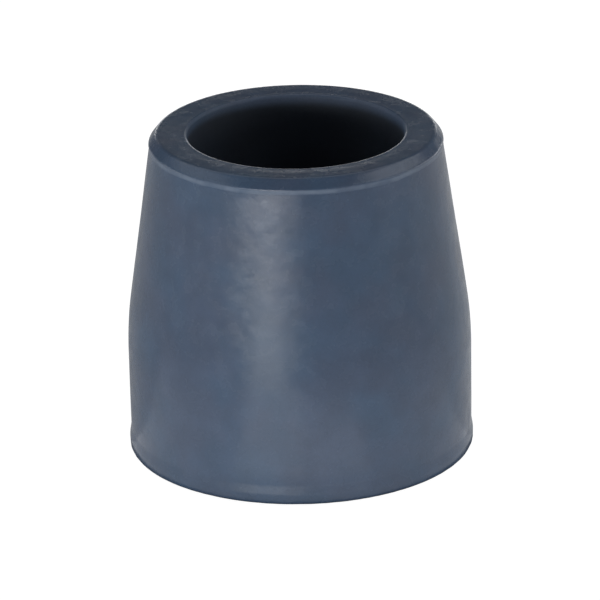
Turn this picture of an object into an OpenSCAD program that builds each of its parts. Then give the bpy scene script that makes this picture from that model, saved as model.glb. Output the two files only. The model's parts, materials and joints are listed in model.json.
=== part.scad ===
// Rubber tip for the leg of a walking frame.
// One solid moulding: a blind socket grips the end of a round tube, the wall swells to a belt
// and stands on a flat foot with ring grooves. Millimetres, +Z up, origin at the foot's centre.

/* [Body] */
// Overall height, from the ground to the rim
tip_h = 42.2; // [36:0.2:52]
// Diameter at the belt, where the wall is widest
belt_d = 44.2; // [42:0.2:53]
// Height of the belt above the ground
belt_h = 16.4; // [13:0.2:20]
// Radius of the soft bend in the wall at the belt
belt_r = 48; // [10:1:60]
// How much narrower the wall is at its lower end than at the belt, in diameter
wall_taper = 0.2; // [0:0.1:1]

/* [Socket] */
// Diameter of the socket; it is a tight fit on a 28.6 tube
socket_d = 27.6; // [23:0.1:29]
// Thickness of the sole, from the ground to the socket's floor
sole_h = 10; // [8:0.5:14]
// Radius between the socket's wall and its floor
floor_r = 1.5; // [0.5:0.1:3]

/* [Rim] */
// Wall thickness at the shoulder, where the tapered wall meets the rim
rim_wall = 4.85; // [4:0.05:5.8]
// Height of the rim above the shoulder
rim_h = 1.75; // [1.4:0.05:3]
// Height of the bead at the shoulder, which the mould's parting line leaves
bead_h = 0.45; // [0.3:0.05:0.8]
// How far the bead stands out from the shoulder
bead_out = 0.1; // [0:0.05:0.3]
// How far the bevel above the bead leans in
bevel_in = 1; // [0.4:0.1:1.4]
// Radius of both edges of the bevel
bevel_r = 0.6; // [0.2:0.1:1]
// How far the inner half of the ring on top slopes down to the mouth
mouth_dip = 0.1; // [0.05:0.05:0.3]
// Radius of the socket's mouth, which leads the tube in
mouth_r = 0.5; // [0.3:0.1:1.2]

/* [Foot] */
// How far the foot band stands out from the wall
band_out = 0.2; // [0.1:0.05:0.6]
// Height of the foot band
band_h = 1.3; // [1.2:0.1:3]
// Height over which the band fades into the wall
band_fade = 1.2; // [0.5:0.1:1.5]
// Radius of the foot's outer edge
foot_edge_r = 0.4; // [0.3:0.1:0.8]

/* [Tread] */
// Number of ring grooves in the foot
groove_count = 3; // [0:1:3]
// Width of a groove
groove_w = 2.2; // [1.5:0.1:2.6]
// Depth of a groove, down to its round root
groove_depth = 1.6; // [1.4:0.1:2.5]
// Width of the ring between two grooves
land_w = 2.8; // [2.4:0.1:3]
// Width of the outermost ring, between the foot's edge and the first groove
edge_land_w = 3.4; // [3:0.1:4]

/* [Hidden] */
$fn = 200;

belt_radius = belt_d / 2;
wall_radius = belt_radius - wall_taper / 2;
foot_radius = wall_radius + band_out;
socket_radius = socket_d / 2;
shoulder_radius = socket_radius + rim_wall;
bead_radius = shoulder_radius + bead_out;
shoulder_z = tip_h - rim_h;
ring_radius = bead_radius - bevel_in;
cut = 1; // how far a cutting shape runs past the face that it opens
graze = 0.0005; // a rounding's circle is this much larger, so that it crosses the sides it meets

// The half section's outline, anticlockwise from the middle of the foot.
// Each entry is [[radius, height], radius of its rounding], and 0 leaves a crease.
OUTLINE = [
    [[0, 0], 0],
    [[foot_radius, 0], foot_edge_r],
    [[foot_radius, band_h], 2 * band_fade],
    [[wall_radius, band_h + band_fade], 2 * band_fade],
    [[belt_radius, belt_h], belt_r],
    [[shoulder_radius, shoulder_z], 0],
    [[bead_radius, shoulder_z + bead_h], bevel_r],
    [[ring_radius, tip_h], bevel_r],
    [[(socket_radius + ring_radius) / 2, tip_h], 0],
    [[socket_radius, tip_h - mouth_dip], mouth_r],
    [[socket_radius, sole_h], floor_r],
    [[0, sole_h], 0]
];

function entry(i) = OUTLINE[(i + len(OUTLINE)) % len(OUTLINE)];
function point(i) = entry(i)[0];
function unit(v) = v / norm(v);

// The directions from corner i along its two sides, and the one between them
function back(i) = unit(point(i - 1) - point(i));
function ahead(i) = unit(point(i + 1) - point(i));
function inward(i) = unit(back(i) + ahead(i));
function half_angle(i) = acos(back(i) * ahead(i)) / 2;

// How much of the side from corner i to corner j the arc of corner i may take up
function room(i, j) = norm(point(i) - point(j)) * (entry(j)[1] > 0 ? 0.48 : 0.95);

// The radius of corner i's rounding, limited by its sides
function radius(i) =
    min(entry(i)[1], min(room(i, i - 1), room(i, i + 1)) * tan(half_angle(i)));

// Where the arc of corner i meets its sides, and the arc's centre
function reach(i) = radius(i) / tan(half_angle(i));
function ends(i) = [point(i) + reach(i) * back(i), point(i) + reach(i) * ahead(i)];
function centre(i) = point(i) + radius(i) / sin(half_angle(i)) * inward(i);

// True where the outline turns right, which is a corner that points into the material
function hollow(i) = cross(point(i) - point(i - 1), point(i + 1) - point(i)) < 0;

// Rounds corner i. A corner that points out loses the sliver outside its arc. A hollow one
// is filled straight across in the blank, and loses the arc's circle.
module rounding(i) {
    if (hollow(i))
        translate(centre(i)) circle(radius(i) + graze);
    else difference() {
        polygon([ends(i)[0], point(i) - cut / 4 * inward(i), ends(i)[1]]);
        translate(centre(i)) circle(radius(i) + graze);
    }
}

module blank() {
    polygon([
        for (i = [0 : len(OUTLINE) - 1])
            for (p = radius(i) > 0 && hollow(i) ? ends(i) : [point(i)]) p
    ]);
}

// The section of one ring groove, straight at its mouth and round at its root
module groove_section(middle) {
    translate([middle, groove_depth - groove_w / 2]) circle(d = groove_w);
    translate([middle - groove_w / 2, -cut])
        square([groove_w, cut + groove_depth - groove_w / 2]);
}

module half_section() {
    difference() {
        blank();
        for (i = [0 : len(OUTLINE) - 1])
            if (radius(i) > 0) rounding(i);
        for (i = [0 : 1 : groove_count - 1])
            groove_section(foot_radius - edge_land_w - groove_w / 2 - i * (groove_w + land_w));
    }
}

module tip() {
    color([0.29, 0.34, 0.41]) rotate_extrude() half_section();
}

tip();
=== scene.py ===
"""Looks of a moulded rubber tip for a walking frame's leg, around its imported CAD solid.

The tip is one moulding, so it is one closed mesh: its half section is turned about +Z, and the
small faults of a real moulding are then pressed into it. The front faces -Y, where the camera is.
"""

import json
import math

import bpy
from mathutils import Matrix, Vector, noise


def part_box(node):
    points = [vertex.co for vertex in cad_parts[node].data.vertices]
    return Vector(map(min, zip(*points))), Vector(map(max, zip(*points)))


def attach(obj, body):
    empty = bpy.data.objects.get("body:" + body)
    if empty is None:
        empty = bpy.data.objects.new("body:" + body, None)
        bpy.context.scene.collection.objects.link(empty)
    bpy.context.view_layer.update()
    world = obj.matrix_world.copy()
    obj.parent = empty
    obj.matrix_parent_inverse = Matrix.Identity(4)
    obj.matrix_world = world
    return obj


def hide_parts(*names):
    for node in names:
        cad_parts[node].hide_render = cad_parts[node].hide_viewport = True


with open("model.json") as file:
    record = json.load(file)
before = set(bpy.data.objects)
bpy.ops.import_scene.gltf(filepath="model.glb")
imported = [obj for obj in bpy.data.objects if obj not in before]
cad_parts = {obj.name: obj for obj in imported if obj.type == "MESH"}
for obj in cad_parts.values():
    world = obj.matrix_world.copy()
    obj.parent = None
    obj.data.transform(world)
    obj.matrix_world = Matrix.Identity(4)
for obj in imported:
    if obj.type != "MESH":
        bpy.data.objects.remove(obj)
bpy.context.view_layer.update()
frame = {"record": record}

MM = 0.001  # a millimetre in metres, the script's unit

# Sizes that the frame gives
low_corner, high_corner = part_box("tip")
tip_height = high_corner.z - low_corner.z
foot_radius = min(high_corner.x, high_corner.y, -low_corner.x, -low_corner.y)
socket = next(m for m in frame["record"]["mounts"] if m["name"] == "socket")
socket_radius = socket["dims"]["r_mm"] * MM

# The wall, from the foot up
foot_edge_rounding = 0.4 * MM
band_top = 1.3 * MM
band_fade = 1.2 * MM
wall_radius = foot_radius - 0.2 * MM
belt_radius = foot_radius - 0.1 * MM
belt_height = 16.4 * MM
belt_rounding = 48 * MM

# The rim
shoulder_radius = socket_radius + 4.85 * MM
shoulder_height = tip_height - 1.75 * MM
bead_radius = shoulder_radius + 0.1 * MM
bead_top = shoulder_height + 0.45 * MM
ring_radius = bead_radius - 1 * MM
bevel_rounding = 0.6 * MM
crown_rounding = 12 * MM
mouth_dip = 0.1 * MM
mouth_rounding = 0.5 * MM

# The socket's floor and the tread
sole_height = 10 * MM
floor_rounding = 1.5 * MM
groove_count = 3
groove_width = 2.2 * MM
groove_depth = 1.6 * MM
groove_edge_rounding = 0.15 * MM
land_width = 2.8 * MM
edge_land_width = 3.4 * MM

# The mesh: its segments around, and the distance between its rings of vertices
segments = 320
rim_spacing = 0.14 * MM
wall_spacing = 0.34 * MM
hidden_spacing = 1.2 * MM
corner_steps = 5

# Faults of the moulding: how far each moves the surface, and the length of its waves
swell_depth, swell_length = 0.035 * MM, 9 * MM
ripple_depth, ripple_length = 0.007 * MM, 1.7 * MM
rim_sag, rim_sag_length = 0.08 * MM, 16 * MM
trim_depth, trim_length = 0.006 * MM, 1.1 * MM
parting_wander, parting_length = 0.10 * MM, 6 * MM
parting_reach = 0.8 * MM
flash_depth = 0.09 * MM
scuff_depth, scuff_length = 0.07 * MM, 1.6 * MM

# The rubber: lengths of its patches, the parting line's drift, and relief too fine for the mesh
patch_length = 9 * MM
mottle_length = 4 * MM
grain_length = 0.3 * MM
satin_length = 1.8 * MM
wear_length = 2.5 * MM
parting_drift = 0.5 * MM
soft_relief_depth, soft_relief_length = 0.035 * MM, 2 * MM
fine_relief_depth, fine_relief_length = 0.003 * MM, 0.22 * MM

# The camera: a long lens on a 36 mm sensor
camera_sensor = 36
camera_lens = 317.9
camera_distance = 679.8 * MM
camera_elevation = 21.44
camera_roll = -1.12
camera_aim = Vector((0.12, 0, 19.02)) * MM

# The stage: the shown floor and dome, and the edges of the unseen floor's sectors
floor_radius = 600 * MM
floor_glow = 0.95
dome_radius = 5000 * MM
dome_glow = 1.1
paper_reflectance = 0.3
hub_radius = 1 * MM
contact_radius = 23 * MM
front_edge = 30 * MM
near_edge = 50 * MM
shine_edge = 80 * MM
mid_edge = 90 * MM
far_shine_edge = 300 * MM
under_floor = -0.05 * MM
layer = 0.01 * MM
light_distance = 700 * MM
room_light = 0.07


def smooth_step(value, start, end):
    """0 at start, 1 at end, and an even curve between."""
    share = min(1, max(0, (value - start) / (end - start)))
    return share * share * (3 - 2 * share)


def groove_corners(middle):
    """Corners of one ring groove, outwards along the foot, each with its rounding."""
    inner = middle - groove_width / 2
    outer = middle + groove_width / 2
    root = 0.49 * groove_width  # almost half, which leaves the root round
    return [
        (Vector((inner, 0)), groove_edge_rounding),
        (Vector((inner, groove_depth)), root),
        (Vector((outer, groove_depth)), root),
        (Vector((outer, 0)), groove_edge_rounding),
    ]


def outline():
    """Corners of the half section, anticlockwise from the middle of the foot."""
    pitch = groove_width + land_width
    outermost = foot_radius - edge_land_width - groove_width / 2
    corners = [(Vector((0, 0)), 0)]
    for i in reversed(range(groove_count)):
        corners += groove_corners(outermost - i * pitch)
    corners += [
        (Vector((foot_radius, 0)), foot_edge_rounding),
        (Vector((foot_radius, band_top)), 2 * band_fade),
        (Vector((wall_radius, band_top + band_fade)), 2 * band_fade),
        (Vector((belt_radius, belt_height)), belt_rounding),
        (Vector((shoulder_radius, shoulder_height)), 0),
        (Vector((bead_radius, bead_top)), bevel_rounding),
        (Vector((ring_radius, tip_height)), bevel_rounding),
        (Vector(((socket_radius + ring_radius) / 2, tip_height)), crown_rounding),
        (Vector((socket_radius, tip_height - mouth_dip)), mouth_rounding),
        (Vector((socket_radius, sole_height)), floor_rounding),
        (Vector((0, sole_height)), 0),
    ]
    return corners


def spacing_at(point):
    """Distance between rings of vertices near a point of the half section."""
    if point.y > shoulder_height - parting_reach:
        return rim_spacing if point.x > socket_radius + 0.1 * MM else wall_spacing
    on_wall = point.x > shoulder_radius - 0.2 * MM and point.y > foot_edge_rounding / 2
    return wall_spacing if on_wall else hidden_spacing


def rounded(before, corner, after, rounding):
    """Points along the arc that rounds a corner, which its two sides limit."""
    back = before - corner
    ahead = after - corner
    half_angle = back.angle(ahead) / 2
    reach = min(rounding / math.tan(half_angle), 0.48 * back.length, 0.48 * ahead.length)
    radius = reach * math.tan(half_angle)
    start = corner + back.normalized() * reach
    inward = (back.normalized() + ahead.normalized()).normalized()
    centre = corner + inward * radius / math.sin(half_angle)
    turn = math.copysign(math.pi - 2 * half_angle, ahead.cross(back))
    steps = max(corner_steps, math.ceil(radius * abs(turn) / spacing_at(corner)))
    spoke = start - centre
    return [centre + Matrix.Rotation(turn * i / steps, 2) @ spoke for i in range(steps + 1)]


def half_section():
    """The half section as a line of points, from the axis to the axis."""
    corners = outline()
    line = []
    for i, (corner, rounding) in enumerate(corners):
        if rounding:
            line += rounded(corners[i - 1][0], corner, corners[i + 1][0], rounding)
        else:
            line.append(corner)
    points = []
    for start, end in zip(line, line[1:]):
        steps = max(1, round((end - start).length / spacing_at((start + end) / 2)))
        points += [start.lerp(end, i / steps) for i in range(steps)]
    return points + [line[-1]]


def waves(place, length, seed=0):
    """Smooth noise from -1 to 1 with waves of a given length; seed picks another field."""
    return noise.noise(place / length + Vector((seed, 3.1 * seed, 7.7 * seed)))


def fault(place, radius):
    """How far the moulding's faults push the surface out, and how far up."""
    height = place.z
    on_wall = smooth_step(height, band_top, 3 * MM)
    on_wall *= smooth_step(height, shoulder_height, shoulder_height - MM)
    on_wall *= smooth_step(radius, socket_radius + MM, socket_radius + 2 * MM)
    on_rim = smooth_step(height, bead_top, tip_height)
    on_rim *= smooth_step(radius, socket_radius - 0.1 * MM, socket_radius + MM)
    near_parting = 1 - smooth_step(abs(height - shoulder_height - 0.2 * MM), 0, parting_reach)
    near_parting *= smooth_step(radius, socket_radius + 2 * MM, socket_radius + 3 * MM)
    on_bead = near_parting * smooth_step(height, shoulder_height, bead_top)
    on_scuff = smooth_step(height, 1.2 * MM, 0.2 * MM)
    on_scuff *= smooth_step(radius, foot_radius - MM, foot_radius - 0.4 * MM)

    out = on_wall * swell_depth * waves(place, swell_length)
    out += on_wall * ripple_depth * waves(place, ripple_length, 1)
    out += on_bead * flash_depth * waves(place, parting_length, 2)
    out -= on_scuff * scuff_depth * abs(waves(place, scuff_length, 3))
    around = Vector((place.x, place.y, 0))
    up = near_parting * parting_wander * waves(around, parting_length, 4)
    up -= on_rim * rim_sag * (0.5 + 0.5 * waves(around, rim_sag_length, 5))
    up -= on_rim * trim_depth * (0.5 + 0.5 * waves(place, trim_length, 6))
    return out, up


def moulded_mesh():
    """The half section turned about +Z into a closed mesh, with the faults in it."""
    section = half_section()
    rings = section[1:-1]
    vertices = []
    for point in rings:
        for i in range(segments):
            angle = 2 * math.pi * i / segments
            way_out = Vector((math.cos(angle), math.sin(angle), 0))
            place = way_out * point.x + Vector((0, 0, point.y))
            out, up = fault(place, point.x)
            vertices.append(place + way_out * out + Vector((0, 0, up)))
    faces = []
    for ring in range(len(rings) - 1):
        for i in range(segments):
            j = (i + 1) % segments
            low, high = ring * segments, (ring + 1) * segments
            faces.append((low + i, low + j, high + j, high + i))
    foot_middle, floor_middle = len(vertices), len(vertices) + 1
    vertices += [Vector((0, 0, section[0].y)), Vector((0, 0, section[-1].y))]
    last = (len(rings) - 1) * segments
    for i in range(segments):
        j = (i + 1) % segments
        faces.append((foot_middle, j, i))
        faces.append((floor_middle, last + i, last + j))
    mesh = bpy.data.meshes.new("moulded_tip")
    mesh.from_pydata(vertices, [], faces)
    mesh.shade_smooth()
    return mesh


def add(tree, kind, inputs, **settings):
    """Adds a node to a tree, with its settings, and its inputs linked or set."""
    made = tree.nodes.new(kind)
    for name, value in settings.items():
        setattr(made, name, value)
    for name, value in inputs.items():
        if isinstance(value, bpy.types.NodeSocket):
            tree.links.new(value, made.inputs[name])
        else:
            made.inputs[name].default_value = value
    return made


def noise_of(tree, place, length, detail=3):
    """A noise texture with features of a given length."""
    inputs = {"Vector": place, "Scale": 1 / length, "Detail": detail, "Roughness": 0.55}
    return add(tree, "ShaderNodeTexNoise", inputs).outputs["Fac"]


def ranged(tree, value, start, end, low, high):
    """Maps start..end of a value to low..high, with an even curve."""
    inputs = {"Value": value, "From Min": start, "From Max": end, "To Min": low, "To Max": high}
    return add(tree, "ShaderNodeMapRange", inputs, interpolation_type="SMOOTHSTEP").outputs[0]


def product(tree, first, second):
    """Two values multiplied."""
    return add(tree, "ShaderNodeMath", {0: first, 1: second}, operation="MULTIPLY").outputs[0]


def mixed(tree, share, first, second, blend_type="MIX"):
    """Two colours mixed by share."""
    inputs = {0: share, 6: first, 7: second}
    settings = {"data_type": "RGBA", "blend_type": blend_type}
    return add(tree, "ShaderNodeMix", inputs, **settings).outputs[2]


def parting_line(tree, place, radius, height):
    """1 on the parting line, which drifts and is worn in places, and 0 elsewhere; it also places a
    painted highlight along the line.
    """
    drift = {0: noise_of(tree, place, parting_length), 1: parting_drift, 2: height}
    level = add(tree, "ShaderNodeMath", drift, operation="MULTIPLY_ADD").outputs[0]
    above = ranged(tree, level, bead_top + 0.3 * MM, bead_top + 0.05 * MM, 0, 1)
    below = ranged(tree, level, bead_top - 0.5 * MM, bead_top - 0.25 * MM, 0, 1)
    outside = ranged(tree, radius, shoulder_radius - 1.2 * MM, shoulder_radius - 0.6 * MM, 0, 0.9)
    wear = ranged(tree, noise_of(tree, place, wear_length), 0.35, 0.65, 0.4, 1)
    return product(tree, product(tree, product(tree, above, below), outside), wear)


def relief(tree, place):
    """The normal over a soft relief and a fine one."""
    soft = {
        "Height": noise_of(tree, place, soft_relief_length, 2),
        "Distance": soft_relief_depth,
        "Strength": 1,
    }
    fine = {
        "Height": noise_of(tree, place, fine_relief_length, 3),
        "Distance": fine_relief_depth,
        "Strength": 1,
        "Normal": add(tree, "ShaderNodeBump", soft).outputs["Normal"],
    }
    return add(tree, "ShaderNodeBump", fine).outputs["Normal"]


def rubber():
    """Satin slate-grey moulded rubber: mottled and finely grained, with shade painted inside the
    socket and a pale parting line that is partly wear and partly a painted highlight.
    """
    slate = (0.0575, 0.0962, 0.162, 1)
    violet = (0.066, 0.0948, 0.155, 1)
    # painted shade: the near black of the socket's wall below the mouth
    painted_socket_shade = (0.010, 0.012, 0.015, 1)
    # pale of the parting line: partly worn bloom, partly a painted highlight along the flash
    parting_wear_and_highlight = (0.135, 0.178, 0.25, 1)
    bore_roughness = 0.6
    parting_roughness = 0.45

    material = bpy.data.materials.new("moulded_rubber")
    material.use_nodes = True
    tree = material.node_tree
    shader = tree.nodes["Principled BSDF"]
    place = add(tree, "ShaderNodeTexCoord", {}).outputs["Object"]
    height = add(tree, "ShaderNodeSeparateXYZ", {"Vector": place}).outputs["Z"]
    flat = add(tree, "ShaderNodeVectorMath", {0: place, 1: (1, 1, 0)}, operation="MULTIPLY")
    radius = add(tree, "ShaderNodeVectorMath", {0: flat.outputs[0]}, operation="LENGTH")
    radius = radius.outputs["Value"]
    parting = parting_line(tree, place, radius, height)

    # Colour: drifting patches, a mottle and a grain, then painted shade inside the socket and the pale
    # parting line, part wear and part painted highlight
    patches = ranged(tree, noise_of(tree, place, patch_length), 0.35, 0.65, 0, 1)
    colour = mixed(tree, patches, slate, violet)
    mottle = ranged(tree, noise_of(tree, place, mottle_length, 1), 0.3, 0.7, 0.94, 1.06)
    colour = mixed(tree, 1, colour, mottle, "MULTIPLY")
    grain = ranged(tree, noise_of(tree, place, grain_length, 2), 0.3, 0.7, 0.95, 1.05)
    colour = mixed(tree, 1, colour, grain, "MULTIPLY")
    # Painted shade: the socket's wall darkens towards near black below the mouth, where little light
    # reaches
    socket_shade_share = product(
        tree,
        ranged(tree, radius, socket_radius + 0.9 * MM, socket_radius + 0.1 * MM, 0, 0.75),
        ranged(tree, height, tip_height - 0.6 * MM, tip_height - 1.9 * MM, 0, 1),
    )
    colour = mixed(tree, socket_shade_share, colour, painted_socket_shade)
    # The parting line is paler: partly worn bloom, partly a painted highlight along the flash
    colour = mixed(tree, parting, colour, parting_wear_and_highlight)
    tree.links.new(colour, shader.inputs["Base Color"])

    # Gloss: satin, and duller in the bore and on the parting line
    gloss = ranged(tree, noise_of(tree, place, satin_length, 2), 0.3, 0.7, 0.2, 0.3)
    bore = ranged(tree, radius, socket_radius + 0.3 * MM, socket_radius + 0.12 * MM, 0, 1)
    gloss = add(tree, "ShaderNodeMix", {0: bore, 2: gloss, 3: bore_roughness}).outputs[0]
    gloss = add(tree, "ShaderNodeMix", {0: parting, 2: gloss, 3: parting_roughness}).outputs[0]
    tree.links.new(gloss, shader.inputs["Roughness"])
    tree.links.new(relief(tree, place), shader.inputs["Normal"])
    return material


def tip():
    """The moulding, which stands for the CAD solid."""
    piece = bpy.data.objects.new("moulded_tip", moulded_mesh())
    bpy.context.scene.collection.objects.link(piece)
    piece.data.materials.append(rubber())
    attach(piece, "root")
    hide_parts("tip")


def paper(name, glow, reflectance=paper_reflectance):
    """A plain matt white surface that also gives off some light."""
    material = bpy.data.materials.new(name)
    material.use_nodes = True
    shader = material.node_tree.nodes["Principled BSDF"]
    shader.inputs["Base Color"].default_value = (reflectance, reflectance, reflectance, 1)
    shader.inputs["Roughness"].default_value = 1
    shader.inputs["Specular IOR Level"].default_value = 0
    shader.inputs["Emission Color"].default_value = (1, 1, 1, 1)
    shader.inputs["Emission Strength"].default_value = glow
    return material


def floor_sector(name, radii, azimuths, height, material):
    """A flat piece of floor between two radii and two azimuths; azimuth 0 is the camera's side."""
    steps = max(2, round((azimuths[1] - azimuths[0]) / 4))
    vertices = []
    for i in range(steps + 1):
        angle = math.radians(azimuths[0] + (azimuths[1] - azimuths[0]) * i / steps)
        vertices += [(radius * math.sin(angle), -radius * math.cos(angle), height) for radius in radii]
    faces = [(2 * i, 2 * i + 1, 2 * i + 3, 2 * i + 2) for i in range(steps)]
    mesh = bpy.data.meshes.new(name)
    mesh.from_pydata(vertices, [], faces)
    mesh.materials.append(material)
    sector = bpy.data.objects.new(name, mesh)
    bpy.context.scene.collection.objects.link(sector)
    return sector


def lighting_sector(name, radii, azimuths, glow, lift=0):
    """A piece of the floor that lights the tip from below, and that the camera doesn't see."""
    sector = floor_sector(name, radii, azimuths, under_floor + lift, paper(name, glow))
    sector.visible_camera = False


def floor():
    """A plain pale floor and a dome, which only the camera sees, over a floor that only lights."""
    around = (-180, 180)
    pale = paper("floor_paper", floor_glow)
    shown_floor = floor_sector("floor", (hub_radius, floor_radius), around, 0, pale)
    bpy.ops.mesh.primitive_uv_sphere_add(segments=48, ring_count=24, radius=dome_radius)
    dome = bpy.context.object
    dome.name = "backdrop"
    dome.data.materials.append(paper("backdrop_paper", dome_glow, 0))
    for shown in (shown_floor, dome):
        shown.visible_diffuse = False
        shown.visible_glossy = False
        shown.visible_shadow = False
    lighting_sector("floor_far", (mid_edge, floor_radius), (-90, 90), 0.28)
    lighting_sector("floor_mid", (near_edge, mid_edge), (-90, 90), 0.46)
    lighting_sector("rear_right", (contact_radius, floor_radius), (90, 180), 0.42)
    lighting_sector("rear_left", (contact_radius, floor_radius), (-180, -90), 0.28)
    lighting_sector("floor_near", (contact_radius, near_edge), (-90, 90), 0.61)
    lighting_sector("floor_contact", (hub_radius, contact_radius), around, 0)
    lighting_sector("floor_front", (front_edge, near_edge), (-30, 30), 0.95, layer)
    lighting_sector("floor_shine", (front_edge, shine_edge), (-30, 0), 1.23, 2 * layer)
    lighting_sector("floor_far_shine", (shine_edge, far_shine_edge), (-30, -8), 2.1, 2 * layer)


def softbox(name, azimuths, elevations, power):
    """A soft rectangle of light around the tip, between two azimuths and two elevations.

    Azimuth 0 is the camera's side and 90 is +X.
    """
    light = bpy.data.lights.new(name, "AREA")
    light.shape = "RECTANGLE"
    light.size = 2 * light_distance * math.tan(math.radians(azimuths[1] - azimuths[0]) / 2)
    light.size_y = 2 * light_distance * math.tan(math.radians(elevations[1] - elevations[0]) / 2)
    light.energy = power
    lamp = bpy.data.objects.new(name, light)
    around = math.radians(sum(azimuths) / 2)
    above = math.radians(sum(elevations) / 2)
    lamp.rotation_euler = (math.pi / 2 - above, 0, around)
    away = lamp.rotation_euler.to_matrix() @ Vector((0, 0, light_distance))
    lamp.location = Vector((0, 0, tip_height / 2)) + away
    lamp.visible_camera = False
    bpy.context.scene.collection.objects.link(lamp)


def lights():
    """Low softboxes around the tip, the brightest on the camera's left, and a dim room."""
    softbox("key", (-45, -15), (0, 7), 0.97)
    softbox("key_core", (-27, -15), (0, 9), 0.14)
    softbox("key_fade", (-15, 0), (0, 7), 0.28)
    softbox("right_front", (15, 60), (0, 12), 0.14)
    softbox("right", (60, 120), (0, 16), 0.92)
    softbox("right_rear", (120, 150), (0, 3), 0.23)
    softbox("right_high", (60, 120), (28, 50), 0.9)
    softbox("left", (-120, -45), (0, 12), 1.08)
    softbox("left_high", (-120, -60), (28, 50), 0.5)
    softbox("rear_low", (156, 202), (0, 9), 0.5)
    softbox("rear_high", (140, 220), (50, 80), 0.85)

    world = bpy.data.worlds.new("studio")
    world.use_nodes = True
    air = world.node_tree.nodes["Background"]
    air.inputs["Color"].default_value = (1, 1, 1, 1)
    air.inputs["Strength"].default_value = room_light
    bpy.context.scene.world = world


def camera():
    """The camera in front of the tip and above it, turned a little about its own axis."""
    data = bpy.data.cameras.new("camera")
    data.sensor_width = camera_sensor
    data.lens = camera_lens
    data.clip_start = 0.01
    data.clip_end = 20
    eye = bpy.data.objects.new("camera", data)
    above = math.radians(camera_elevation)
    back = Vector((0, -math.cos(above), math.sin(above)))
    eye.location = camera_aim + back * camera_distance
    level = back.to_track_quat("Z", "Y").to_matrix()
    roll = Matrix.Rotation(math.radians(camera_roll), 3, "Z")
    eye.rotation_euler = (level @ roll).to_euler()
    bpy.context.scene.collection.objects.link(eye)
    bpy.context.scene.camera = eye


tip()
floor()
lights()
camera()
bpy.context.scene.view_settings.view_transform = "Standard"
